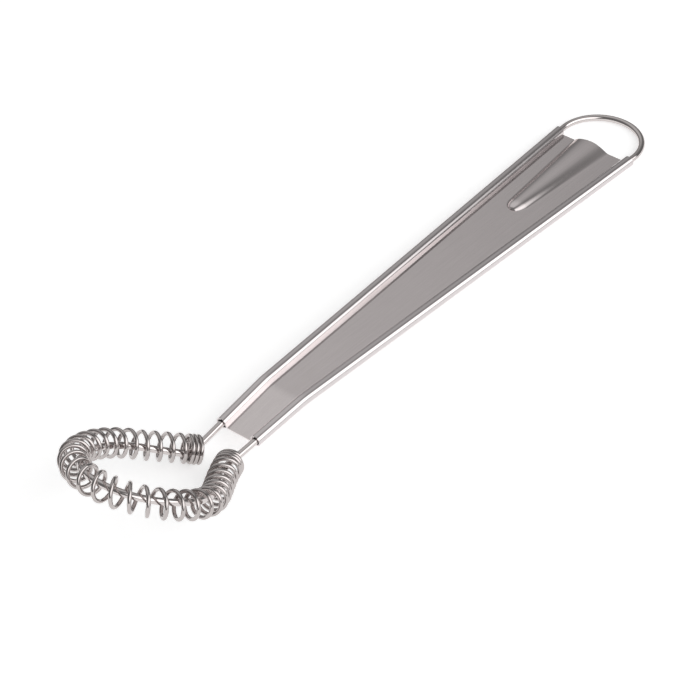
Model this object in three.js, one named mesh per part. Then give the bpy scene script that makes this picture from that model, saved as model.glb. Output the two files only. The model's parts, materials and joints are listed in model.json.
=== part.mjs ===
// Sauce whisk: a tapered sheet-metal handle rolled along both edges round a bent wire frame,
// and a loose coil spring threaded on the frame's head loop.
// Millimetres, +Z up. The whisk lies on the plane z = 0 as on a table, with +X from the head
// to the hanging loop and the origin under the middle of its bounding box.

import * as THREE from 'three';

const { degToRad, lerp, smoothstep } = THREE.MathUtils;

// Wire frame
const WIRE_DIAMETER = 2.3;
const WIRE_SPACING_TOP = 28.6; // between the two legs' centre lines at the sheet's hanging end
const WIRE_SPACING_HEAD = 13.4; // and at its head end
const HANGING_LOOP_STRAIGHT = 2.3; // bare wire between the sheet and the hanging loop's arc
const NECK_LENGTH = 15.3; // from the sheet's head end to the bend into the head loop
const HEAD_BEND = degToRad(34); // rise of the head loop's plane from the necks
const HEAD_BEND_RADIUS = 5;
const HEAD_OVAL_DISTANCE = 27; // from the neck bends to the middle of the loop's oval
const HEAD_OVAL_HALF_LENGTH = 22.7;
const HEAD_OVAL_HALF_WIDTH = 19.3;
const WIRE_BUTT_DISTANCE = 60; // from the kink to where the wire's two ends meet, inside one roll
const WIRE_BUTT_GAP = 1;

// Handle sheet
const SHEET_THICKNESS = 0.45;
const MAIN_LENGTH = 162.5; // from the kink to the hanging end
const LOWER_LENGTH = 21.2; // from the kink to the head end
const KINK_ANGLE = degToRad(6.5); // the lower stretch slopes down by this much
const KINK_RADIUS = 30;
const ROLL_CLEARANCE = 0.3; // between the wire and the roll round it
const PANEL_DROP = 1; // of the panel under the wires
const TURN_RADIUS = 0.5; // at which the panel turns up into a roll
const SEAM_GAP = 0.4; // between a roll's raw edge, tucked in underneath, and that turn
const FLUTE_LENGTH = 43.5; // raised thumb flute, from the hanging end down
const FLUTE_OFFSET = 0.9; // of the flute's axis from the handle's, towards the left roll
const FLUTE_WIDTH_TOP = 14;
const FLUTE_WIDTH_NOSE = 6.2;
const FLUTE_HEIGHT_TOP = 2.2;
const FLUTE_HEIGHT_NOSE = 1.2;
const FLUTE_NOSE_LENGTH = 5; // over which the lower end rounds off
const FLUTE_FLANK_POWER = 1.1; // above 1, the flute's foot runs out into the panel

// Coil spring
const COIL_WIRE_DIAMETER = 1.3;
const COIL_OUTER_DIAMETER = 9.5;
const COIL_TURNS = 35;
const COIL_CLOSED_TURNS = 3; // at each end
const COIL_CLOSED_GAP = 0.56; // between the closed turns
const COIL_START_ANGLE = degToRad(255); // of the left end's cut, round from the outer side
const COIL_DRIFT = 0.1; // the open turns lie this much closer on the left leg than on average
const COIL_SPREAD = 0.2; // and this much further apart round the tip than at both ends
const COIL_SEAT_GAP = 0.5; // between the wire and the bore, on the inside of the loop
const COIL_OVERHANG = 3; // how far the left end passes its neck bend, straight on
const COIL_OVERHANG_LIFT = 1.3; // how far that end stands over the loop's plane
const COIL_NECK_REACH = 4.2; // how far the right end climbs its neck
const COIL_NECK_LEAN = 0.37; // how far it leans from the leg's direction, 0, to the neck's, 1
const COIL_LEAVE_ANGLE = degToRad(75.5); // past the tip, where the coil leaves the loop's outer side
const COIL_LEAVE_EASE = 0.34; // handles of the wide bend from there to the right end, as shares of
const COIL_END_EASE = 0.44; // its chord

// Fineness of the surfaces
const WIRE_SIDES = 10;
const HANGING_LOOP_STEPS = 26;
const HEAD_OVAL_STEPS = 40;
const BEND_STEPS = 5;
const ROLL_STEPS = 15;
const TURN_STEPS = 4;
const FLUTE_STEPS_ACROSS = 12;
const FLUTE_STEPS_ALONG = 12;
const FLUTE_NOSE_STEPS = 5;
const COIL_STEPS = 8; // for each turn
const COIL_SIDES = 5;
const SLOPE_PROBE = 0.01; // distance over which the flute's slope is measured
const REST_HALVINGS = 40; // in the search for the slope at rest

// Sizes that follow
const WIRE_RADIUS = WIRE_DIAMETER / 2;
const ROLL_INNER_RADIUS = WIRE_RADIUS + ROLL_CLEARANCE;
const ROLL_RADIUS = ROLL_INNER_RADIUS + SHEET_THICKNESS / 2;
const ROLL_OUTER_RADIUS = ROLL_INNER_RADIUS + SHEET_THICKNESS;
const TURN_ACROSS = ROLL_RADIUS + TURN_RADIUS; // from a wire to the middle of the turn beside it
const TURN_DROP = PANEL_DROP - TURN_RADIUS;
const TURN_DISTANCE = Math.hypot(TURN_ACROSS, TURN_DROP);
const SEAM_DISTANCE = TURN_RADIUS + SHEET_THICKNESS / 2 + SEAM_GAP;
const ROLL_END_ANGLE = Math.atan2(TURN_DROP, TURN_ACROSS) - Math.PI + Math.acos(
  (ROLL_OUTER_RADIUS ** 2 + TURN_DISTANCE ** 2 - SEAM_DISTANCE ** 2)
    / (2 * ROLL_OUTER_RADIUS * TURN_DISTANCE),
);
const HEAD_TILT = HEAD_BEND - KINK_ANGLE;
const COIL_RADIUS = (COIL_OUTER_DIAMETER - COIL_WIRE_DIAMETER) / 2;
const COIL_OFFSET = COIL_RADIUS - COIL_WIRE_DIAMETER / 2 - WIRE_RADIUS - COIL_SEAT_GAP;

const ACROSS = new THREE.Vector3(0, 1, 0);
const UP = new THREE.Vector3(0, 0, 1);

// Point of the handle's centre line at a distance s from the kink, positive towards the hanging
// loop, with the direction along it and the normal of the panel there.
function spineAt(s) {
  const arcHalf = (KINK_RADIUS * KINK_ANGLE) / 2;
  const tangentLength = KINK_RADIUS * Math.tan(KINK_ANGLE / 2);
  const turned = THREE.MathUtils.clamp((arcHalf - s) / KINK_RADIUS, 0, KINK_ANGLE);
  const along = new THREE.Vector3(Math.cos(turned), 0, Math.sin(turned));
  const normal = new THREE.Vector3(-Math.sin(turned), 0, Math.cos(turned));
  const point = new THREE.Vector3(tangentLength, 0, 0);
  if (s >= arcHalf) {
    point.x += s - arcHalf;
  } else {
    point.x -= KINK_RADIUS * Math.sin(turned);
    point.z -= KINK_RADIUS * (1 - Math.cos(turned));
    point.addScaledVector(along, Math.min(s + arcHalf, 0));
  }
  return { point, along, normal };
}

// Half the distance between the two legs of the frame, which run straight from end to end.
function halfSpacing(s) {
  const share = (s + LOWER_LENGTH) / (LOWER_LENGTH + MAIN_LENGTH);
  return lerp(WIRE_SPACING_HEAD, WIRE_SPACING_TOP, share) / 2;
}

function legPoint(side, s) {
  return spineAt(s).point.addScaledVector(ACROSS, side * halfSpacing(s));
}

function kinkStations() {
  const arcHalf = (KINK_RADIUS * KINK_ANGLE) / 2;
  return evenly(-arcHalf, arcHalf, BEND_STEPS);
}

function evenly(from, to, steps) {
  return Array.from({ length: steps + 1 }, (_, i) => lerp(from, to, i / steps));
}

// The head loop's plane: its corner line, the direction from the handle to the tip, and its normal.
const head = {
  origin: spineAt(-LOWER_LENGTH - NECK_LENGTH).point,
  forward: new THREE.Vector3(-Math.cos(HEAD_TILT), 0, Math.sin(HEAD_TILT)),
  normal: new THREE.Vector3(Math.sin(HEAD_TILT), 0, Math.cos(HEAD_TILT)),
  halfWidth: halfSpacing(-LOWER_LENGTH - NECK_LENGTH),
};

function headPoint(forward, across) {
  return head.origin.clone().addScaledVector(head.forward, forward).addScaledVector(ACROSS, across);
}

// Point of the head oval at an angle from its tip, moved outwards square to it.
function ovalPoint(angle, outwards = 0) {
  const normal = new THREE.Vector2(
    HEAD_OVAL_HALF_WIDTH * Math.cos(angle),
    HEAD_OVAL_HALF_LENGTH * Math.sin(angle),
  ).normalize();
  return headPoint(
    HEAD_OVAL_DISTANCE + HEAD_OVAL_HALF_LENGTH * Math.cos(angle) + outwards * normal.x,
    HEAD_OVAL_HALF_WIDTH * Math.sin(angle) + outwards * normal.y,
  );
}

// Angle at which a straight leg from a neck bend runs into the oval without a corner.
function ovalTangentAngle() {
  const bend = new THREE.Vector2(
    -HEAD_OVAL_DISTANCE / HEAD_OVAL_HALF_LENGTH,
    head.halfWidth / HEAD_OVAL_HALF_WIDTH,
  );
  return bend.angle() - Math.acos(1 / bend.length());
}

// Points of a round bend that replaces the corner between two straight stretches.
function bendPoints(before, corner, after, radius) {
  const inwards = corner.clone().sub(before).normalize();
  const outwards = after.clone().sub(corner).normalize();
  const turn = inwards.angleTo(outwards);
  const start = corner.clone().addScaledVector(inwards, -radius * Math.tan(turn / 2));
  const axis = inwards.clone().cross(outwards).normalize();
  const toCentre = axis.clone().cross(inwards).multiplyScalar(radius);
  const centre = start.clone().add(toCentre);
  return evenly(0, turn, BEND_STEPS).map((angle) =>
    toCentre.clone().negate().applyAxisAngle(axis, angle).add(centre));
}

// One wire from end to end: up one roll, round the hanging loop, down the other roll, round the
// head and back up the first roll.
function wirePath() {
  const bendDistance = -LOWER_LENGTH - NECK_LENGTH;
  const tangentAngle = ovalTangentAngle();
  const leg = (side) => [
    ...kinkStations().reverse().map((s) => legPoint(side, s)),
    ...bendPoints(
      legPoint(side, -LOWER_LENGTH),
      legPoint(side, bendDistance),
      ovalPoint(side * tangentAngle),
      HEAD_BEND_RADIUS,
    ),
  ];
  const oval = evenly(-tangentAngle, tangentAngle, HEAD_OVAL_STEPS).map((angle) => ovalPoint(angle));
  return [
    legPoint(1, WIRE_BUTT_DISTANCE + WIRE_BUTT_GAP / 2),
    ...hangingLoop(),
    ...leg(-1),
    ...oval,
    ...leg(1).reverse(),
    legPoint(1, WIRE_BUTT_DISTANCE - WIRE_BUTT_GAP / 2),
  ];
}

// An arc that both legs run into, from the left leg to the right one.
function hangingLoop() {
  const start = MAIN_LENGTH + HANGING_LOOP_STRAIGHT;
  const flare = Math.atan(halfSpacing(1) - halfSpacing(0));
  const radius = halfSpacing(start) / Math.cos(flare);
  const centre = legPoint(0, start);
  centre.x += radius * Math.sin(flare);
  const reach = Math.PI / 2 + flare;
  return evenly(reach, -reach, HANGING_LOOP_STEPS).map((angle) =>
    new THREE.Vector3(radius * Math.cos(angle), radius * Math.sin(angle), 0).add(centre));
}

// Stretch of the head oval between two angles, moved outwards.
class OvalLine extends THREE.Curve {
  constructor(from, to, outwards) {
    super();
    this.from = from;
    this.to = to;
    this.outwards = outwards;
  }

  getPoint(t, target = new THREE.Vector3()) {
    return target.copy(ovalPoint(lerp(this.from, this.to, t), this.outwards));
  }
}

// Centre line of the coil: along the left leg and round the tip on their outer side, then in a
// wide bend that cuts the last corner, to a place on the right neck.
function coilLine() {
  const tangentAngle = ovalTangentAngle();
  const legDirection = (side) => {
    const leg = headPoint(0, side * head.halfWidth).sub(ovalPoint(side * tangentAngle));
    return { length: leg.length(), along: leg.normalize() };
  };
  const left = legDirection(1);
  const legEnd = ovalPoint(tangentAngle, COIL_OFFSET);
  const leftEnd = legEnd.clone()
    .addScaledVector(left.along, left.length + COIL_OVERHANG)
    .addScaledVector(head.normal, COIL_OVERHANG_LIFT);
  const tip = new OvalLine(tangentAngle, -COIL_LEAVE_ANGLE, COIL_OFFSET);

  const bend = legPoint(-1, -LOWER_LENGTH - NECK_LENGTH);
  const neckAlong = legPoint(-1, -LOWER_LENGTH).sub(bend).normalize();
  const rightEnd = bend.addScaledVector(neckAlong, COIL_NECK_REACH);
  const rightAlong = legDirection(-1).along.lerp(neckAlong, COIL_NECK_LEAN).normalize();
  const leave = tip.getPoint(1);
  const chord = leave.distanceTo(rightEnd);
  const line = new THREE.CurvePath();
  line.add(new THREE.LineCurve3(leftEnd, legEnd));
  line.add(tip);
  line.add(new THREE.CubicBezierCurve3(
    leave,
    leave.clone().addScaledVector(tip.getTangent(1), COIL_LEAVE_EASE * chord),
    rightEnd.clone().addScaledVector(rightAlong, -COIL_END_EASE * chord),
    rightEnd,
  ));
  return line;
}

// Points of the coil's wire: a right-hand helix round its centre line, with closed turns at both
// ends and the open turns sharing the length that is left.
function coilPath() {
  const line = coilLine();
  const closedPitch = COIL_WIRE_DIAMETER + COIL_CLOSED_GAP;
  const steps = Math.round(COIL_TURNS * COIL_STEPS);
  const turns = steps / COIL_STEPS;
  const openness = Array.from({ length: steps }, (_, i) => {
    const turn = (i + 0.5) / COIL_STEPS;
    const fromEnd = Math.min(turn, turns - turn);
    const place = (2 * turn) / turns - 1;
    const spacing = 1 + COIL_DRIFT * place - COIL_SPREAD * (place ** 2 - 1 / 3);
    return spacing * smoothstep(fromEnd, COIL_CLOSED_TURNS - 0.5, COIL_CLOSED_TURNS + 0.5);
  });
  const stretch = line.getLength() - turns * closedPitch;
  const unit = stretch / openness.reduce((sum, value) => sum + value, 0);
  // Corners stand a little outside the true circle, so that the flats lie as much inside it.
  const cornerRadius = (COIL_RADIUS * 2) / (1 + Math.cos(Math.PI / COIL_STEPS));
  const points = [];
  let distance = 0;
  for (let i = 0; i <= steps; i += 1) {
    const share = Math.min(distance / line.getLength(), 1);
    const angle = COIL_START_ANGLE + (2 * Math.PI * i) / COIL_STEPS;
    const along = line.getTangent(share);
    const outwards = along.clone().cross(head.normal).normalize();
    points.push(line.getPoint(share)
      .addScaledVector(outwards, cornerRadius * Math.cos(angle))
      .addScaledVector(along.cross(outwards), cornerRadius * Math.sin(angle)));
    distance += closedPitch / COIL_STEPS + unit * (openness[i] ?? 0);
  }
  return points;
}

// Least distance between the surfaces of two neighbouring turns, measured on the path's points.
function leastTurnGap(points) {
  let least = Infinity;
  for (let i = 0; i < points.length; i += 1) {
    const last = Math.min(i + 2 * COIL_STEPS, points.length - 1);
    for (let j = i + COIL_STEPS / 2; j <= last; j += 1) {
      least = Math.min(least, points[i].distanceTo(points[j]));
    }
  }
  return least - COIL_WIRE_DIAMETER;
}

function solidGeometry(positions, triangles) {
  const geometry = new THREE.BufferGeometry();
  geometry.setAttribute('position', new THREE.Float32BufferAttribute(positions, 3));
  geometry.setIndex(triangles);
  geometry.computeVertexNormals();
  return geometry;
}

// Closed round bar along a path of points, its rings carried along without twist.
function sweepRound(path, radius, sides) {
  const positions = [];
  const triangles = [];
  const firstDirection = path[1].clone().sub(path[0]).normalize();
  let side = firstDirection.clone().cross(UP).normalize();
  path.forEach((point, i) => {
    const previous = path[Math.max(i - 1, 0)];
    const next = path[Math.min(i + 1, path.length - 1)];
    const before = point.clone().sub(previous).normalize();
    const after = next.clone().sub(point).normalize();
    const along = before.add(after).normalize();
    side = side.addScaledVector(along, -side.dot(along)).normalize();
    const third = along.clone().cross(side);
    for (let k = 0; k < sides; k += 1) {
      const angle = (2 * Math.PI * k) / sides;
      point.clone()
        .addScaledVector(side, radius * Math.cos(angle))
        .addScaledVector(third, radius * Math.sin(angle))
        .toArray(positions, positions.length);
    }
  });
  const ring = (i, k) => i * sides + (k % sides);
  for (let i = 0; i < path.length - 1; i += 1) {
    for (let k = 0; k < sides; k += 1) {
      triangles.push(ring(i, k), ring(i, k + 1), ring(i + 1, k + 1));
      triangles.push(ring(i, k), ring(i + 1, k + 1), ring(i + 1, k));
    }
  }
  const last = path.length - 1;
  for (let k = 1; k < sides - 1; k += 1) {
    triangles.push(ring(0, 0), ring(0, k + 1), ring(0, k));
    triangles.push(ring(last, 0), ring(last, k), ring(last, k + 1));
  }
  return solidGeometry(positions, triangles);
}

// Half the flute's width and its crown's height at a distance s from the kink.
function fluteAt(s) {
  const fromNose = s - (MAIN_LENGTH - FLUTE_LENGTH);
  const share = fromNose / FLUTE_LENGTH;
  const rounding = Math.sqrt(1 - (1 - Math.min(fromNose / FLUTE_NOSE_LENGTH, 1)) ** 2);
  return {
    halfWidth: (rounding * lerp(FLUTE_WIDTH_NOSE, FLUTE_WIDTH_TOP, share)) / 2,
    height: rounding * lerp(FLUTE_HEIGHT_NOSE, FLUTE_HEIGHT_TOP, share),
  };
}

function fluteHeight(s, across) {
  const flute = fluteAt(Math.max(s, MAIN_LENGTH - FLUTE_LENGTH));
  const share = flute.halfWidth > 0 ? (across - FLUTE_OFFSET) / flute.halfWidth : 1;
  return flute.height * Math.max(1 - share ** 2, 0) ** FLUTE_FLANK_POWER;
}

// Middle of the sheet across one station, from the raw edge of the left roll, round the outside and
// over the wire, down the turn into the panel, and so on to the right one. Each point has its place
// across the handle, its height over the wires' plane, the slope of the sheet there as a normal
// (along, across, up), and an order by which two stations are joined.
function sheetSection(s) {
  const half = halfSpacing(s);
  const roll = evenly(ROLL_END_ANGLE, Math.PI, ROLL_STEPS).map((angle) => ({
    across: half + ROLL_RADIUS * Math.cos(angle),
    height: ROLL_RADIUS * Math.sin(angle),
    normal: new THREE.Vector3(0, Math.cos(angle), Math.sin(angle)),
  }));
  const turn = evenly(0, -Math.PI / 2, TURN_STEPS).map((angle) => ({
    across: half - TURN_ACROSS + TURN_RADIUS * Math.cos(angle),
    height: TURN_RADIUS * Math.sin(angle) - TURN_DROP,
    normal: new THREE.Vector3(0, -Math.cos(angle), -Math.sin(angle)),
  }));
  const leftRoll = [...roll, ...turn].map((place, i) => ({
    ...place,
    order: i / (ROLL_STEPS + TURN_STEPS + 1),
  }));
  const rightRoll = leftRoll.map(({ across, height, normal, order }) => ({
    across: -across,
    height,
    normal: new THREE.Vector3(0, -normal.y, normal.z),
    order: 3 - order,
  })).reverse();
  return [...leftRoll, ...flutePoints(s), ...rightRoll];
}

function flutePoints(s) {
  if (s < MAIN_LENGTH - FLUTE_LENGTH) {
    return [];
  }
  const { halfWidth } = fluteAt(s);
  if (halfWidth === 0) {
    const order = 1 + 0.5 / (FLUTE_STEPS_ACROSS + 2);
    return [{ across: FLUTE_OFFSET, height: -PANEL_DROP, normal: UP.clone(), order }];
  }
  return evenly(1, -1, FLUTE_STEPS_ACROSS).map((share, i) => {
    const across = FLUTE_OFFSET + share * halfWidth;
    const rise = fluteHeight(s, across);
    const slopeAlong = (rise - fluteHeight(s - SLOPE_PROBE, across)) / SLOPE_PROBE;
    const slopeAcross = (fluteHeight(s, across + SLOPE_PROBE) - rise) / SLOPE_PROBE;
    return {
      across,
      height: rise - PANEL_DROP,
      normal: new THREE.Vector3(-slopeAlong, -slopeAcross, 1).normalize(),
      order: 1 + (i + 1) / (FLUTE_STEPS_ACROSS + 2),
    };
  });
}

// Stations along the sheet, close together only where it bends or swells.
function sheetStations() {
  const nose = MAIN_LENGTH - FLUTE_LENGTH;
  const shoulder = nose + FLUTE_NOSE_LENGTH;
  const rounding = evenly(0, 1, FLUTE_NOSE_STEPS).map((share) => lerp(nose, shoulder, share ** 2));
  return [
    -LOWER_LENGTH,
    ...kinkStations(),
    ...rounding,
    ...evenly(shoulder, MAIN_LENGTH, FLUTE_STEPS_ALONG).slice(1),
  ];
}

// The sheet as a closed solid: its middle surface moved half its thickness to either side.
function handleSheet() {
  const upper = [];
  const lower = [];
  const rows = sheetStations().map((s) => {
    const { point, along, normal } = spineAt(s);
    return sheetSection(s).map((place) => {
      const middle = point.clone()
        .addScaledVector(ACROSS, place.across)
        .addScaledVector(normal, place.height);
      const offset = new THREE.Vector3()
        .addScaledVector(along, place.normal.x)
        .addScaledVector(ACROSS, place.normal.y)
        .addScaledVector(normal, place.normal.z)
        .multiplyScalar(SHEET_THICKNESS / 2);
      upper.push(...middle.clone().add(offset).toArray());
      lower.push(...middle.clone().sub(offset).toArray());
      return { order: place.order, top: upper.length / 3 - 1 };
    });
  });
  const below = upper.length / 3;
  const triangles = [];
  const wall = (from, to) => {
    triangles.push(from, to, to + below);
    triangles.push(from, to + below, from + below);
  };
  rows.slice(1).forEach((next, i) => {
    const row = rows[i];
    stitch(row, next).forEach(([a, b, c]) => {
      triangles.push(a, b, c);
      triangles.push(a + below, c + below, b + below);
    });
    wall(row[0].top, next[0].top);
    wall(next.at(-1).top, row.at(-1).top);
  });
  const first = rows[0];
  const last = rows.at(-1);
  first.slice(1).forEach((place, j) => wall(place.top, first[j].top));
  last.slice(1).forEach((place, j) => wall(last[j].top, place.top));
  return solidGeometry([...upper, ...lower], triangles);
}

// Triangles between two rows of points that may differ in number, walked in their common order.
function stitch(row, next) {
  const triangles = [];
  let i = 0;
  let j = 0;
  while (i < row.length - 1 || j < next.length - 1) {
    const rowFirst = j === next.length - 1
      || (i < row.length - 1 && row[i + 1].order <= next[j + 1].order);
    if (rowFirst) {
      triangles.push([row[i].top, row[i + 1].top, next[j].top]);
      i += 1;
    } else {
      triangles.push([row[i].top, next[j + 1].top, next[j].top]);
      j += 1;
    }
  }
  return triangles;
}

function steelMesh(name, geometry, color, roughness) {
  const material = new THREE.MeshStandardMaterial({ color, roughness, metalness: 1 });
  const mesh = new THREE.Mesh(geometry, material);
  mesh.name = name;
  return mesh;
}

// Slope at which the whisk lies on a table, with the head's side and the handle's side both down.
function restSlope(object) {
  const lowest = (slope, isHead) => {
    let least = Infinity;
    object.children.forEach(({ geometry }) => {
      const places = geometry.getAttribute('position');
      for (let i = 0; i < places.count; i += 1) {
        if (places.getX(i) < 0 === isHead) {
          const height = places.getZ(i) * Math.cos(slope) - places.getX(i) * Math.sin(slope);
          least = Math.min(least, height);
        }
      }
    });
    return least;
  };
  let low = -HEAD_BEND;
  let high = HEAD_BEND;
  for (let i = 0; i < REST_HALVINGS; i += 1) {
    const middle = (low + high) / 2;
    if (lowest(middle, true) < lowest(middle, false)) {
      low = middle;
    } else {
      high = middle;
    }
  }
  return (low + high) / 2;
}

const coilPoints = coilPath();
console.log(`coil_spring: least gap between turns ${leastTurnGap(coilPoints).toFixed(2)} mm`);

const whisk = new THREE.Group();
whisk.add(
  steelMesh('handle_sheet', handleSheet(), 0xb4b1b0, 0.25),
  steelMesh('wire_frame', sweepRound(wirePath(), WIRE_RADIUS, WIRE_SIDES), 0xc4c1bf, 0.18),
  steelMesh('coil_spring', sweepRound(coilPoints, COIL_WIRE_DIAMETER / 2, COIL_SIDES), 0xbdb9b6, 0.2),
);
whisk.rotation.y = restSlope(whisk);
whisk.updateMatrixWorld();
const box = new THREE.Box3().setFromObject(whisk, true);
const middle = box.getCenter(new THREE.Vector3());
whisk.position.set(-middle.x, -middle.y, -box.min.z);

const sauceWhisk = new THREE.Group();
sauceWhisk.add(whisk);

export default sauceWhisk;
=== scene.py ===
import json
from math import acos, atan, atan2, cos, hypot, pi, radians, sin, tan

import bpy
import numpy as np
from mathutils import Matrix, Vector


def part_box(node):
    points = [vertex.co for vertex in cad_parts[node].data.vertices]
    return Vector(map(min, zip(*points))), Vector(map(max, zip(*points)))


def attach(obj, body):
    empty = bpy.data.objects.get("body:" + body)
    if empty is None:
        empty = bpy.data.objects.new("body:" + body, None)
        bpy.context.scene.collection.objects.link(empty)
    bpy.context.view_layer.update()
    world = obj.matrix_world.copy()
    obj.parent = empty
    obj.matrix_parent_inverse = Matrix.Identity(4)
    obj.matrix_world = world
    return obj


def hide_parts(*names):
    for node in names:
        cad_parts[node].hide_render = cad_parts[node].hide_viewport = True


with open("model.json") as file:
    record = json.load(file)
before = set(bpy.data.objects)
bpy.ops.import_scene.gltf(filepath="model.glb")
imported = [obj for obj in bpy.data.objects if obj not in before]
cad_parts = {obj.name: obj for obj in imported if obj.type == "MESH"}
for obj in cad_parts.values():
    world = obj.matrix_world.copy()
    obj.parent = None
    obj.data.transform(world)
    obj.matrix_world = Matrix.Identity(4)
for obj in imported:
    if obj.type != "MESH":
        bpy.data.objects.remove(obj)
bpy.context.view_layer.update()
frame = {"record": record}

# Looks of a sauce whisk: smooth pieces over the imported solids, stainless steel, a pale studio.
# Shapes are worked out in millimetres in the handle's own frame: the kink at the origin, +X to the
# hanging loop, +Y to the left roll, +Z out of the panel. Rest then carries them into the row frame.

MM = 0.001
PHOTO_PIXELS = 700

# Wire frame
WIRE_DIAMETER = 2.3
WIRE_SPACING_TOP = 28.6
WIRE_SPACING_HEAD = 13.4
HANGING_LOOP_STRAIGHT = 2.3
NECK_LENGTH = 15.3
HEAD_BEND = radians(34)
HEAD_BEND_RADIUS = 5
HEAD_OVAL_DISTANCE = 27
HEAD_OVAL_HALF_LENGTH = 22.7
HEAD_OVAL_HALF_WIDTH = 19.3
WIRE_BUTT_DISTANCE = 60
WIRE_BUTT_GAP = 1

# Handle sheet
SHEET_THICKNESS = 0.45
MAIN_LENGTH = 162.5
LOWER_LENGTH = 21.2
KINK_ANGLE = radians(6.5)
KINK_RADIUS = 30
ROLL_CLEARANCE = 0.3
PANEL_DROP = 1
TURN_RADIUS = 0.3
FOLD_RADIUS = 0.15
FOLD_START = radians(32) # above the roll's middle, where its inner wall folds down flat
FOLD_LEAN = radians(15) # of this wall from upright
FOLD_FULL = 50 # up to here from the kink, fading out to FOLD_END
FOLD_END = 112
SEAM_GAP = 0.4
FLUTE_LENGTH = 45
FLUTE_OFFSET = 0.9
FLUTE_WIDTH_TOP = 14
FLUTE_WIDTH_NOSE = 6.2
FLUTE_HEIGHT_TOP = 2.2
FLUTE_HEIGHT_NOSE = 1.5
FLUTE_NOSE_LENGTH = 4.5
FLUTE_NOSE_POWER = 2.4 # 2 is an oval nose, more is blunter
FLUTE_FLANK_POWER_LEFT = 0.8
FLUTE_FLANK_POWER_RIGHT = 1.5
CREASE_WIDTH = 0.35 # of the painted shade along the flute's left foot, a darkening that stands for the crease's shadow
CREASE_FADING = 0.7 # share of this painted shade that is gone at the hanging end
EDGE_ROUNDING = 0.07
BACK_MOUNT_DISTANCE = 40 # of the record's mount on the panel's back, from the kink

# Coil spring, its end turns as close as on the real one
COIL_WIRE_DIAMETER = 1.3
COIL_OUTER_DIAMETER = 9.5
COIL_TURNS = 35.5
COIL_CLOSED_TURNS = 2.75
COIL_CLOSED_PITCH = 1.34
COIL_OPENING_TURNS = 1 # over which the closed turns open up
COIL_START_ANGLE = radians(120)
COIL_DRIFT = 0.1
COIL_SPREAD = 0.3
COIL_SEAT_GAP = 0.5
COIL_OVERHANG = 3
COIL_OVERHANG_LIFT = 1.3
COIL_NECK_REACH = 4.2
COIL_NECK_LEAN = 0.37
COIL_LEAVE_ANGLE = radians(75.5)
COIL_LEAVE_EASE = 0.34
COIL_END_EASE = 0.44
WIRE_CHAMFER = 0.15 # at each cut end of a wire, as a share of its radius

# Fineness of the surfaces
WIRE_SIDES = 32
COIL_SIDES = 14
COIL_STEPS = 44
BEND_STEPS = 16
LOOP_STEPS = 90
OVAL_STEPS = 140
LINE_STEPS = 300
ROLL_STEPS = 52
FOLD_STEPS = 8
TURN_STEPS = 12
FLAT_STEPS = 6
FLUTE_STEPS = 44
ROW_STEPS_LOWER = 8
ROW_STEPS_MAIN = 36
ROW_STEPS_NOSE = 26
ROW_STEPS_FLUTE = 50
EDGE_STEPS = 2
FLAT_CROWDING = 3 # of columns towards the flute's left foot, where 1 is even
NOSE_CROWDING = 2 # of rows towards the tip of the flute's nose
SHARP_ANGLE = radians(38)

# Camera in the handle's frame, in millimetres
CAMERA_PLACE = (-524.13, -466.25, 586.77)
CAMERA_TARGET = (27.70, -3.75, 0)
CAMERA_ROLL = radians(1.325)
CAMERA_FOCAL_PIXELS = 3000.25
CAMERA_SENSOR = 36

# Floor, in metres
FLOOR_HALF = 8

# Steels: wear is the tone of the most worn places, roughness has a least and a most, and the scale of
# the grain is for a metre of the sheet each way, or for a millimetre along a wire and a turn round it
SHEET_STEEL = dict(colour=(0.8, 0.74, 0.735), wear=0.95, roughness=(0.1, 0.15), grain_scale=(8, 1900, 1900))
FRAME_STEEL = dict(colour=(0.66, 0.615, 0.605), wear=0.94, roughness=(0.06, 0.12), grain_scale=(0.05, 30, 1))
COIL_STEEL = dict(colour=(0.53, 0.49, 0.48), wear=0.92, roughness=(0.05, 0.1), grain_scale=(0.08, 20, 1))
ROLL_COLOUR = (0.682, 0.638, 0.638)
# Painted shade: this dark colour is laid along the flute's left foot and stands for the crease's shadow
CREASE_SHADE_COLOUR = (0.13, 0.12, 0.12)
GRAIN_DETAIL = 3.0
GRAIN_BUMP = 0.02 # as a strength, and as a height in millimetres
MARKS_SCALE = 90.0 # of cloudy handling marks, over metres
MARKS_DETAIL = 4.0
SCRATCHES_SCALE = 900.0
SCRATCHES_DETAIL = 2.0
NOISE_RANGE = (0.35, 0.65) # of a noise, spread over the whole of a tone or roughness
NOISE_SHARE = 0.6 # of the first of two noises in their sum

# Light levels, as strengths of the background
ROOM_LEVEL = 0.22
# Softboxes: level, direction, then half width and height and the softness of their edges, as tangents
SOFTBOXES = (
    (0.77, (0.23, 0.5, 0.835), (0.59, 0.79), (0.42, 0.41)),
    (2.5, (0, -0.82, 0.57), (0.97, 0.47), (0.14, 0.3)),
)
TINY = 0.001 # keeps a division off zero
FLOOR_COLOUR = 0.8
FLOOR_LIFT = 0.55 # added where the floor is seen, and not where it lights the object

# Sizes that follow
WIRE_RADIUS = WIRE_DIAMETER / 2
ROLL_RADIUS = WIRE_RADIUS + ROLL_CLEARANCE + SHEET_THICKNESS / 2
ROLL_OUTER_RADIUS = ROLL_RADIUS + SHEET_THICKNESS / 2
TURN_ACROSS = ROLL_RADIUS + TURN_RADIUS
TURN_DROP = PANEL_DROP - TURN_RADIUS
TURN_DISTANCE = hypot(TURN_ACROSS, TURN_DROP)
SEAM_DISTANCE = TURN_RADIUS + SHEET_THICKNESS / 2 + SEAM_GAP
ROLL_END_ANGLE = atan2(TURN_DROP, TURN_ACROSS) - pi + acos(
    (ROLL_OUTER_RADIUS ** 2 + TURN_DISTANCE ** 2 - SEAM_DISTANCE ** 2)
    / (2 * ROLL_OUTER_RADIUS * TURN_DISTANCE)
)
KINK_HALF = KINK_RADIUS * KINK_ANGLE / 2
BEND_DISTANCE = -LOWER_LENGTH - NECK_LENGTH
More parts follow.
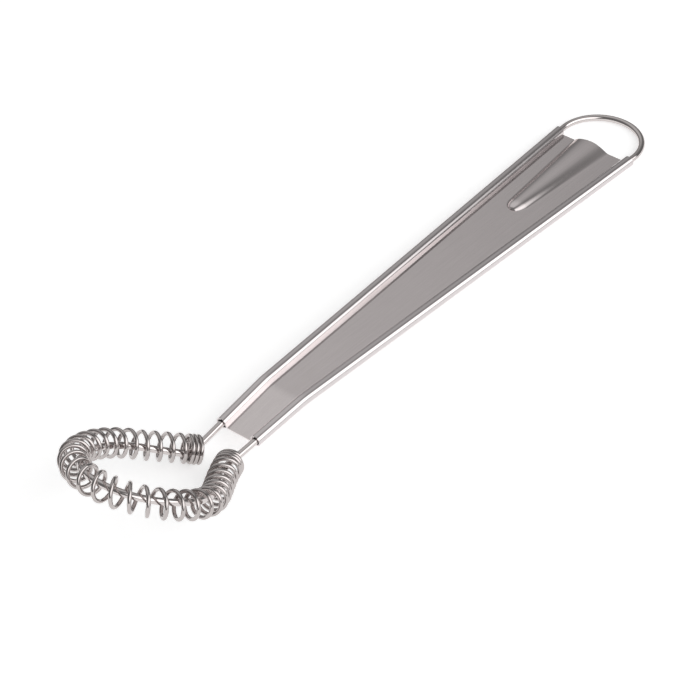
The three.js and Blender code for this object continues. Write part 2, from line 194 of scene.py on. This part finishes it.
HEAD_TILT = HEAD_BEND - KINK_ANGLE
COIL_RADIUS = (COIL_OUTER_DIAMETER - COIL_WIRE_DIAMETER) / 2
COIL_OFFSET = COIL_RADIUS - COIL_WIRE_DIAMETER / 2 - WIRE_RADIUS - COIL_SEAT_GAP

ACROSS = np.array([0.0, 1.0, 0.0])
UP = np.array([0.0, 0.0, 1.0])


def unit(vector):
    return vector / np.linalg.norm(vector)


def mix(a, b, share):
    return a + (b - a) * share


def smooth_step(value, low, high):
    share = np.clip((value - low) / (high - low), 0, 1)
    return share * share * (3 - 2 * share)


def rest_matrix():
    """Handle frame in millimetres to row frame in metres, from the mount on the panel's back."""
    mount = next(m for m in frame["record"]["mounts"] if m["name"] == "handle_back")
    slope = atan2(-mount["axis"][0], -mount["axis"][2])
    turn = Matrix.Rotation(slope, 4, "Y") @ Matrix.Scale(MM, 4)
    back = turn @ Vector((BACK_MOUNT_DISTANCE, 0, -PANEL_DROP - SHEET_THICKNESS / 2))
    low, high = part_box("handle_sheet")
    place = Vector(mount["pos_m"]) - back
    place.y = (low.y + high.y) / 2
    return Matrix.Translation(place) @ turn


REST = rest_matrix()


def to_row(points):
    matrix = np.array(REST)
    return points @ matrix[:3, :3].T + matrix[:3, 3]


# Lines of the object

def spine(s):
    """Point of the handle's centre line s from the kink, and the panel's normal there."""
    turned = min(max((KINK_HALF - s) / KINK_RADIUS, 0), KINK_ANGLE)
    along = np.array([cos(turned), 0, sin(turned)])
    normal = np.array([-sin(turned), 0, cos(turned)])
    point = np.array([KINK_RADIUS * tan(KINK_ANGLE / 2), 0, 0])
    if s >= KINK_HALF:
        point[0] += s - KINK_HALF
    else:
        point += KINK_RADIUS * np.array([-sin(turned), 0, cos(turned) - 1])
        point += along * min(s + KINK_HALF, 0)
    return point, normal


def half_spacing(s):
    share = (s + LOWER_LENGTH) / (LOWER_LENGTH + MAIN_LENGTH)
    return mix(WIRE_SPACING_HEAD, WIRE_SPACING_TOP, share) / 2


def leg_point(side, s):
    return spine(s)[0] + ACROSS * side * half_spacing(s)


HEAD_ORIGIN = spine(BEND_DISTANCE)[0]
HEAD_FORWARD = np.array([-cos(HEAD_TILT), 0, sin(HEAD_TILT)])
HEAD_NORMAL = np.array([sin(HEAD_TILT), 0, cos(HEAD_TILT)])
HEAD_HALF_WIDTH = half_spacing(BEND_DISTANCE)


def head_point(forward, across):
    return HEAD_ORIGIN + HEAD_FORWARD * forward + ACROSS * across


def oval_point(angle, outwards=0):
    """Point of the head oval at an angle from its tip, moved outwards square to it."""
    square = unit(np.array([HEAD_OVAL_HALF_WIDTH * cos(angle), HEAD_OVAL_HALF_LENGTH * sin(angle)]))
    return head_point(
        HEAD_OVAL_DISTANCE + HEAD_OVAL_HALF_LENGTH * cos(angle) + outwards * square[0],
        HEAD_OVAL_HALF_WIDTH * sin(angle) + outwards * square[1],
    )


def oval_tangent_angle():
    """Angle at which a straight leg from a neck bend runs into the oval without a corner."""
    bend = np.array([-HEAD_OVAL_DISTANCE / HEAD_OVAL_HALF_LENGTH, HEAD_HALF_WIDTH / HEAD_OVAL_HALF_WIDTH])
    return atan2(bend[1], bend[0]) - acos(1 / np.linalg.norm(bend))


TANGENT_ANGLE = oval_tangent_angle()


def bend_points(before, corner, after, radius):
    """Points of a round bend that replaces the corner between two straight stretches."""
    inwards = unit(corner - before)
    outwards = unit(after - corner)
    turn = acos(inwards @ outwards)
    start = corner - inwards * radius * tan(turn / 2)
    square = unit(outwards - inwards * (inwards @ outwards))
    centre = start + square * radius
    angles = np.linspace(0, turn, BEND_STEPS + 1)
    return [centre - square * radius * cos(a) + inwards * radius * sin(a) for a in angles]


def hanging_loop():
    """Points of the arc past the handle's end, which runs into both legs without a corner."""
    start = MAIN_LENGTH + HANGING_LOOP_STRAIGHT
    flare = atan(half_spacing(1) - half_spacing(0))
    radius = half_spacing(start) / cos(flare)
    centre = spine(start)[0] + np.array([radius * sin(flare), 0, 0])
    reach = pi / 2 + flare
    angles = np.linspace(reach, -reach, LOOP_STEPS + 1)
    return [centre + radius * np.array([cos(a), sin(a), 0]) for a in angles]


def frame_leg(side):
    """Points of the two bends in one leg of the frame, at the kink and at the neck."""
    kink = [leg_point(side, s) for s in np.linspace(KINK_HALF, -KINK_HALF, BEND_STEPS + 1)]
    bend = bend_points(
        leg_point(side, -LOWER_LENGTH),
        leg_point(side, BEND_DISTANCE),
        oval_point(side * TANGENT_ANGLE),
        HEAD_BEND_RADIUS,
    )
    return kink + bend


def frame_path():
    oval = [oval_point(a) for a in np.linspace(-TANGENT_ANGLE, TANGENT_ANGLE, OVAL_STEPS + 1)]
    return np.array(
        [leg_point(1, WIRE_BUTT_DISTANCE + WIRE_BUTT_GAP / 2)]
        + hanging_loop()
        + frame_leg(-1)
        + oval
        + frame_leg(1)[::-1]
        + [leg_point(1, WIRE_BUTT_DISTANCE - WIRE_BUTT_GAP / 2)]
    )


def head_leg(side):
    """Length and direction of a straight leg of the head loop, from the oval to the neck bend."""
    leg = head_point(0, side * HEAD_HALF_WIDTH) - oval_point(side * TANGENT_ANGLE)
    return np.linalg.norm(leg), unit(leg)


def coil_line():
    """Centre line of the coil: the left leg, round the tip, and a wide bend onto the right neck."""
    length, along = head_leg(1)
    leg_end = oval_point(TANGENT_ANGLE, COIL_OFFSET)
    left_end = leg_end + along * (length + COIL_OVERHANG) + HEAD_NORMAL * COIL_OVERHANG_LIFT
    shares = np.linspace(0, 1, LINE_STEPS + 1)
    left = [mix(left_end, leg_end, share) for share in shares]
    tip = [oval_point(mix(TANGENT_ANGLE, -COIL_LEAVE_ANGLE, share), COIL_OFFSET) for share in shares]

    bend = leg_point(-1, BEND_DISTANCE)
    neck_along = unit(leg_point(-1, -LOWER_LENGTH) - bend)
    right_end = bend + neck_along * COIL_NECK_REACH
    right_along = unit(mix(head_leg(-1)[1], neck_along, COIL_NECK_LEAN))
    chord = np.linalg.norm(right_end - tip[-1])
    corners = [
        tip[-1],
        tip[-1] + unit(tip[-1] - tip[-2]) * COIL_LEAVE_EASE * chord,
        right_end - right_along * COIL_END_EASE * chord,
        right_end,
    ]
    right = []
    for share in shares:
        points = corners
        while len(points) > 1:
            points = [mix(a, b, share) for a, b in zip(points, points[1:])]
        right.append(points[0])
    return np.array(left + tip[1:] + right[1:])


def path_lengths(path):
    return np.r_[0, np.cumsum(np.linalg.norm(np.diff(path, axis=0), axis=1))]


def coil_path():
    """Right-hand helix round the coil's line, with closed turns at both ends."""
    line = coil_line()
    lengths = path_lengths(line)
    steps = round(COIL_TURNS * COIL_STEPS)
    turn = (np.arange(steps) + 0.5) / COIL_STEPS
    place = 2 * turn / COIL_TURNS - 1
    from_end = np.minimum(turn, COIL_TURNS - turn)
    spacing = 1 + COIL_DRIFT * place - COIL_SPREAD * (place ** 2 - 1 / 3)
    half_opening = COIL_OPENING_TURNS / 2
    opened = smooth_step(from_end, COIL_CLOSED_TURNS - half_opening, COIL_CLOSED_TURNS + half_opening)
    openness = spacing * opened
    stretch = (lengths[-1] - COIL_TURNS * COIL_CLOSED_PITCH) / openness.sum()
    distance = np.r_[0, np.cumsum(COIL_CLOSED_PITCH / COIL_STEPS + stretch * openness)]
    centre = np.stack([np.interp(distance, lengths, line[:, k]) for k in range(3)], axis=1)
    along = np.gradient(centre, axis=0)
    along /= np.linalg.norm(along, axis=1)[:, None]
    outwards = np.cross(along, HEAD_NORMAL)
    outwards /= np.linalg.norm(outwards, axis=1)[:, None]
    third = np.cross(along, outwards)
    angle = (COIL_START_ANGLE + 2 * pi * np.arange(steps + 1) / COIL_STEPS)[:, None]
    return centre + COIL_RADIUS * (np.cos(angle) * outwards + np.sin(angle) * third)


# Surfaces

def flute_layout(s):
    """Share of the flute's length reached at s, and half its width before the nose rounds off.

    Below the flute the share is negative, and its columns narrow to half the nose's width.
    """
    share = (s - MAIN_LENGTH + FLUTE_LENGTH) / FLUTE_LENGTH
    width = max(mix(FLUTE_WIDTH_NOSE, FLUTE_WIDTH_TOP, share), FLUTE_WIDTH_NOSE / 2)
    return share, width / 2


def nose_rounding(share):
    """Share of the flute's full width and height that its rounded nose has reached."""
    from_shoulder = 1 - min(share * FLUTE_LENGTH / FLUTE_NOSE_LENGTH, 1)
    return (1 - from_shoulder ** FLUTE_NOSE_POWER) ** (1 / FLUTE_NOSE_POWER)


def flute_height(s, across):
    share, half_width = flute_layout(s)
    if share <= 0:
        return np.zeros_like(across)
    rounding = nose_rounding(share)
    from_axis = (across - FLUTE_OFFSET) / (rounding * half_width)
    height = rounding * mix(FLUTE_HEIGHT_NOSE, FLUTE_HEIGHT_TOP, share)
    power = np.where(from_axis > 0, FLUTE_FLANK_POWER_LEFT, FLUTE_FLANK_POWER_RIGHT)
    return height * np.maximum(1 - from_axis ** 2, 0) ** power


def painted_crease_shade(s, across):
    """Share of painted shade, which stands for the shadow in the sharp crease along the flute's left foot,
    which opens towards the end.
    """
    share, half_width = flute_layout(s)
    if share <= 0:
        return np.zeros_like(across)
    foot = FLUTE_OFFSET + nose_rounding(share) * half_width
    return (1 - CREASE_FADING * share) * np.exp(-((across - foot) / CREASE_WIDTH) ** 2)


def sheet_section(s):
    """Places across the handle and heights of the sheet's middle, from raw edge to raw edge."""
    half = half_spacing(s)
    fading = 1 - smooth_step(s, FOLD_FULL, FOLD_END)
    lean = FOLD_LEAN * fading
    fold_radius = mix(ROLL_RADIUS, FOLD_RADIUS, fading)
    roll = np.linspace(ROLL_END_ANGLE, pi - FOLD_START, ROLL_STEPS + 1)
    fold = np.linspace(pi - FOLD_START, pi - lean, FOLD_STEPS + 1)
    turn = np.linspace(-lean, -pi / 2, TURN_STEPS + 1)
    fold_across = (fold_radius - ROLL_RADIUS) * cos(FOLD_START) + fold_radius * np.cos(fold)
    fold_height = (ROLL_RADIUS - fold_radius) * sin(FOLD_START) + fold_radius * np.sin(fold)
    wall_drop = fold_height[-1] + TURN_DROP + TURN_RADIUS * sin(lean)
    flat_edge = half + fold_across[-1] - wall_drop * tan(lean) - TURN_RADIUS * cos(lean)
    edge_across = np.r_[
        half + ROLL_RADIUS * np.cos(roll),
        half + fold_across[1:],
        flat_edge + TURN_RADIUS * np.cos(turn),
    ]
    edge_height = np.r_[
        ROLL_RADIUS * np.sin(roll),
        fold_height[1:],
        TURN_RADIUS * np.sin(turn) - TURN_DROP,
    ]
    flute_half = flute_layout(s)[1]
    panel = np.r_[
        mix(FLUTE_OFFSET + flute_half, flat_edge, np.linspace(1, 0, FLAT_STEPS + 1)[1:] ** FLAT_CROWDING),
        np.linspace(FLUTE_OFFSET + flute_half, FLUTE_OFFSET - flute_half, FLUTE_STEPS + 1)[1:],
        np.linspace(FLUTE_OFFSET - flute_half, -flat_edge, FLAT_STEPS + 1)[1:-1],
    ]
    across = np.r_[edge_across, panel, -edge_across[::-1]]
    height = np.r_[edge_height, flute_height(s, panel) - PANEL_DROP, edge_height[::-1]]
    return across, height


def sheet_stations():
    nose = MAIN_LENGTH - FLUTE_LENGTH
    shoulder = nose + FLUTE_NOSE_LENGTH
    return np.r_[
        np.linspace(-LOWER_LENGTH, -KINK_HALF, ROW_STEPS_LOWER + 1),
        np.linspace(-KINK_HALF, KINK_HALF, BEND_STEPS + 1)[1:],
        np.linspace(KINK_HALF, nose, ROW_STEPS_MAIN + 1)[1:],
        mix(nose, shoulder, np.linspace(0, 1, ROW_STEPS_NOSE + 1)[1:] ** NOSE_CROWDING),
        np.linspace(shoulder, MAIN_LENGTH, ROW_STEPS_FLUTE + 1)[1:],
    ]


def sheet_surface():
    """Vertices, faces, polish and painted crease shade of the sheet: its middle moved half its thickness to
    each side.
    """
    rows = []
    crease_shade = []
    for s in sheet_stations():
        point, normal = spine(s)
        across, height = sheet_section(s)
        rows.append(point + across[:, None] * ACROSS + height[:, None] * normal)
        # painted shade along the flute's left foot, standing for the crease's shadow
        crease_shade.append(painted_crease_shade(s, across))
    middle = np.array(rows)
    normals = np.cross(np.gradient(middle, axis=0), np.gradient(middle, axis=1))
    normals *= -1 / np.linalg.norm(normals, axis=2)[:, :, None]
    offset = normals * SHEET_THICKNESS / 2
    row_count, column_count = middle.shape[:2]
    below = row_count * column_count
    vertices = np.concatenate([(middle + offset).reshape(-1, 3), (middle - offset).reshape(-1, 3)])
    place = np.arange(below).reshape(row_count, column_count)
    faces = []

    def add_quads(a, b, c, d):
        faces.extend(np.stack([a.ravel(), b.ravel(), c.ravel(), d.ravel()], axis=1).tolist())

    corners = (place[:-1, :-1], place[:-1, 1:], place[1:, 1:], place[1:, :-1])
    add_quads(*corners)
    add_quads(*(corner + below for corner in reversed(corners)))
    rim = np.r_[place[0], place[1:, -1], place[-1, -2::-1], place[-2::-1, 0]]
    add_quads(rim[1:], rim[:-1], rim[:-1] + below, rim[1:] + below)
    edge_polish = np.r_[np.ones(ROLL_STEPS + FOLD_STEPS + 1), np.linspace(1, 0, TURN_STEPS + 1)]
    polish = np.zeros(column_count)
    polish[:len(edge_polish)] = edge_polish
    polish[-len(edge_polish):] = edge_polish[::-1]
    return vertices, faces, np.tile(polish, 2 * row_count), np.tile(np.concatenate(crease_shade), 2)


def wire_surface(path, radius, sides):
    """Vertices, faces and corner coordinates (millimetres along, share round) of a round wire."""
    chamfer = WIRE_CHAMFER * radius
    first = path[0] + unit(path[1] - path[0]) * chamfer
    last = path[-1] + unit(path[-2] - path[-1]) * chamfer
    path = np.concatenate([path[:1], [first], path[1:-1], [last], path[-1:]])
    radii = np.full(len(path), radius)
    radii[[0, -1]] -= chamfer
    along = np.diff(path, axis=0)
    along /= np.linalg.norm(along, axis=1)[:, None]
    along = np.concatenate([along[:1], along[:-1] + along[1:], along[-1:]])
    along /= np.linalg.norm(along, axis=1)[:, None]
    angle = pi / 2 + 2 * pi * np.arange(sides) / sides
    side = np.cross(along[0], UP)
    rings = []
    for point, direction, size in zip(path, along, radii):
        side = unit(side - direction * (side @ direction))
        third = np.cross(direction, side)
        rings.append(point + size * (np.cos(angle)[:, None] * side + np.sin(angle)[:, None] * third))
    ring, step = np.meshgrid(np.arange(len(path) - 1), np.arange(sides), indexing="ij")
    ring, step = ring.ravel(), step.ravel()
    rings_at = np.stack([ring, ring, ring + 1, ring + 1], axis=1)
    steps_at = np.stack([step, step + 1, step + 1, step], axis=1)
    faces = (rings_at * sides + steps_at % sides).tolist()
    lengths = path_lengths(path)
    coordinates = np.stack([lengths[rings_at], steps_at / sides], axis=2).reshape(-1, 2)
    last_ring = (len(path) - 1) * sides
    caps = [list(range(sides))[::-1], list(range(last_ring, last_ring + sides))]
    cap_ends = np.repeat([lengths[0], lengths[-1]], sides)
    coordinates = np.concatenate([coordinates, np.stack([cap_ends, 0 * cap_ends], axis=1)])
    return np.concatenate(rings), faces + caps, coordinates


def add_piece(name, vertices, faces, material, node, body, coordinates=None):
    mesh = bpy.data.meshes.new(name)
    mesh.from_pydata(to_row(vertices).tolist(), [], faces)
    mesh.polygons.foreach_set("use_smooth", [True] * len(faces))
    mesh.set_sharp_from_angle(angle=SHARP_ANGLE)
    if coordinates is not None:
        layer = mesh.uv_layers.new(name="along_and_round")
        layer.data.foreach_set("uv", np.ascontiguousarray(coordinates, dtype=np.float32).ravel())
    mesh.materials.append(material)
    piece = bpy.data.objects.new(name, mesh)
    bpy.context.scene.collection.objects.link(piece)
    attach(piece, body)
    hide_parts(node)
    return piece


# Materials

class Nodes:
    """Adds nodes to one tree. An input is a value, or the socket that feeds it."""

    def __init__(self, tree):
        self.tree = tree
        tree.nodes.clear()

    def add(self, kind, inputs=None, **settings):
        node = self.tree.nodes.new(kind)
        for name, value in settings.items():
            setattr(node, name, value)
        for name, value in (inputs or {}).items():
            self.feed(node.inputs[name], value)
        return node

    def feed(self, socket, value):
        if isinstance(value, bpy.types.NodeSocket):
            self.tree.links.new(value, socket)
        else:
            socket.default_value = value

    def math(self, operation, a, b=0.0):
        return self.add("ShaderNodeMath", {0: a, 1: b}, operation=operation).outputs[0]

    def weigh(self, a, b, share):
        parts = self.math("MULTIPLY", a, share), self.math("MULTIPLY", b, 1 - share)
        return self.math("ADD", *parts)

    def noise(self, vector, scale, detail):
        inputs = {"Vector": vector, "Scale": scale, "Detail": detail}
        return self.add("ShaderNodeTexNoise", inputs).outputs["Fac"]

    def stretch(self, vector, scale):
        return self.add("ShaderNodeMapping", {"Vector": vector, "Scale": scale}).outputs["Vector"]

    def fit(self, value, low, high, to_low, to_high, **settings):
        inputs = {"Value": value, "From Min": low, "From Max": high, "To Min": to_low, "To Max": to_high}
        return self.add("ShaderNodeMapRange", inputs, **settings).outputs["Result"]

    def blend(self, share, a, b):
        node = self.add("ShaderNodeMix", data_type="RGBA")
        for name, value in (("Factor", share), ("A", a), ("B", b)):
            self.feed(next(i for i in node.inputs if i.name == name and i.enabled), value)
        return next(o for o in node.outputs if o.enabled)


def steel(name, colour, wear, roughness, grain_scale, rolled=False):
    """Stainless steel with a faint lengthwise grain, cloudy handling marks and fine scratches.

    Rolled is for the sheet: its grain follows the row frame's axes, its rolls are tinted, and painted shade
    darkens its crease.
    """
    material = bpy.data.materials.new(name)
    material.use_nodes = True
    nodes = Nodes(material.node_tree)
    places = nodes.add("ShaderNodeTexCoord")
    grain_place = nodes.stretch(places.outputs["Object" if rolled else "UV"], grain_scale)
    grain = nodes.noise(grain_place, 1.0, GRAIN_DETAIL)
    marks = nodes.noise(places.outputs["Object"], MARKS_SCALE, MARKS_DETAIL)
    scratches = nodes.noise(places.outputs["Object"], SCRATCHES_SCALE, SCRATCHES_DETAIL)
    tone = nodes.fit(nodes.weigh(grain, marks, NOISE_SHARE), *NOISE_RANGE, 0.0, 1.0)
    worn = [channel * wear for channel in colour]
    tint = nodes.blend(tone, (*worn, 1), (*colour, 1))
    if rolled:
        # polish tints the rolls; the crease mask lays painted shade, a dark colour that stands for the
        # crease's shadow
        for attribute, other in (("polish", ROLL_COLOUR), ("crease_shade", CREASE_SHADE_COLOUR)):
            share = nodes.add("ShaderNodeAttribute", attribute_name=attribute).outputs["Fac"]
            tint = nodes.blend(share, tint, (*other, 1))
    rough = nodes.fit(nodes.weigh(marks, scratches, NOISE_SHARE), *NOISE_RANGE, *roughness)
    bump = nodes.add("ShaderNodeBump", {
        "Height": grain,
        "Strength": GRAIN_BUMP,
        "Distance": GRAIN_BUMP * MM,
    })
    shader = nodes.add("ShaderNodeBsdfPrincipled", {
        "Base Color": tint,
        "Metallic": 1.0,
        "Roughness": rough,
        "Normal": bump.outputs["Normal"],
    })
    nodes.add("ShaderNodeOutputMaterial", {"Surface": shader.outputs["BSDF"]})
    return material


def floor_material():
    material = bpy.data.materials.new("pale_floor")
    material.use_nodes = True
    nodes = Nodes(material.node_tree)
    ray = nodes.add("ShaderNodeLightPath").outputs
    seen = nodes.math("MAXIMUM", ray["Is Camera Ray"], ray["Is Glossy Ray"])
    seen = nodes.math("MAXIMUM", seen, ray["Is Transmission Ray"])
    shader = nodes.add("ShaderNodeBsdfPrincipled", {
        "Base Color": (FLOOR_COLOUR, FLOOR_COLOUR, FLOOR_COLOUR, 1),
        "Roughness": 1.0,
        "Specular IOR Level": 0.0,
        "Emission Color": (1, 1, 1, 1),
        "Emission Strength": nodes.math("MULTIPLY", seen, FLOOR_LIFT),
    })
    nodes.add("ShaderNodeOutputMaterial", {"Surface": shader.outputs["BSDF"]})
    return material


# Studio

def softbox(nodes, direction, facing, half_size, softness):
    """Share of a softbox seen in a direction: 1 inside, 0 outside. Its width lies along the handle."""
    facing = Vector(facing).normalized()
    across = (Vector((1, 0, 0)) - facing * facing.x).normalized()
    upwards = facing.cross(across)

    def along(axis):
        inputs = {0: direction, 1: axis}
        return nodes.add("ShaderNodeVectorMath", inputs, operation="DOT_PRODUCT").outputs["Value"]

    towards = along(facing)
    ahead = nodes.math("MAXIMUM", towards, TINY)
    share = nodes.math("GREATER_THAN", towards, 0.0)
    for axis, half, edge in zip((across, upwards), half_size, softness):
        distance = nodes.math("ABSOLUTE", nodes.math("DIVIDE", along(axis), ahead))
        inside = nodes.fit(distance, half - edge, half + edge, 1.0, 0.0, interpolation_type="SMOOTHSTEP")
        share = nodes.math("MULTIPLY", share, inside)
    return share


def studio():
    """A dim room with softboxes, each in front of those before it."""
    world = bpy.data.worlds.new("studio")
    bpy.context.scene.world = world
    world.use_nodes = True
    nodes = Nodes(world.node_tree)
    direction = nodes.add("ShaderNodeTexCoord").outputs["Generated"]
    light = ROOM_LEVEL
    for level, *layout in SOFTBOXES:
        light = nodes.fit(softbox(nodes, direction, *layout), 0.0, 1.0, light, level)
    background = nodes.add("ShaderNodeBackground", {"Strength": light})
    nodes.add("ShaderNodeOutputWorld", {"Surface": background.outputs["Background"]})


def add_floor():
    mesh = bpy.data.meshes.new("floor")
    corners = [(-1, -1), (1, -1), (1, 1), (-1, 1)]
    mesh.from_pydata([(x * FLOOR_HALF, y * FLOOR_HALF, 0) for x, y in corners], [], [(0, 1, 2, 3)])
    mesh.materials.append(floor_material())
    floor = bpy.data.objects.new("floor", mesh)
    bpy.context.scene.collection.objects.link(floor)


def add_camera():
    place = Vector(CAMERA_PLACE)
    forward = (Vector(CAMERA_TARGET) - place).normalized()
    level_right = forward.cross(Vector(UP)).normalized()
    right = Matrix.Rotation(CAMERA_ROLL, 3, forward) @ level_right
    axes = Matrix((right, right.cross(forward), -forward)).transposed().to_4x4()
    turn = REST.to_3x3().normalized().to_4x4()
    data = bpy.data.cameras.new("camera")
    data.sensor_width = CAMERA_SENSOR
    data.lens = CAMERA_FOCAL_PIXELS * CAMERA_SENSOR / PHOTO_PIXELS
    camera = bpy.data.objects.new("camera", data)
    camera.matrix_world = Matrix.Translation(REST @ place) @ turn @ axes
    bpy.context.scene.collection.objects.link(camera)
    bpy.context.scene.camera = camera


def add_whisk():
    sheet_steel = steel("sheet_steel", **SHEET_STEEL, rolled=True)
    frame_steel = steel("frame_steel", **FRAME_STEEL)
    coil_steel = steel("coil_steel", **COIL_STEEL)
    vertices, faces, polish, crease_shade = sheet_surface()
    sheet = add_piece("handle_sheet_fine", vertices, faces, sheet_steel, "handle_sheet", "handle")
    sheet.data.attributes.new("polish", "FLOAT", "POINT").data.foreach_set("value", polish)
    # painted shade along the flute's left foot, standing for the crease's shadow
    sheet.data.attributes.new("crease_shade", "FLOAT", "POINT").data.foreach_set("value", crease_shade)
    rounding = sheet.modifiers.new("edge_rounding", "BEVEL")
    rounding.width = EDGE_ROUNDING * MM
    rounding.segments = EDGE_STEPS
    rounding.limit_method = "ANGLE"
    rounding.angle_limit = SHARP_ANGLE
    vertices, faces, coordinates = wire_surface(frame_path(), WIRE_RADIUS, WIRE_SIDES)
    add_piece("wire_frame_fine", vertices, faces, frame_steel, "wire_frame", "handle", coordinates)
    vertices, faces, coordinates = wire_surface(coil_path(), COIL_WIRE_DIAMETER / 2, COIL_SIDES)
    add_piece("coil_spring_fine", vertices, faces, coil_steel, "coil_spring", "coil", coordinates)


add_whisk()
add_floor()
studio()
add_camera()
bpy.context.scene.view_settings.view_transform = "Standard"
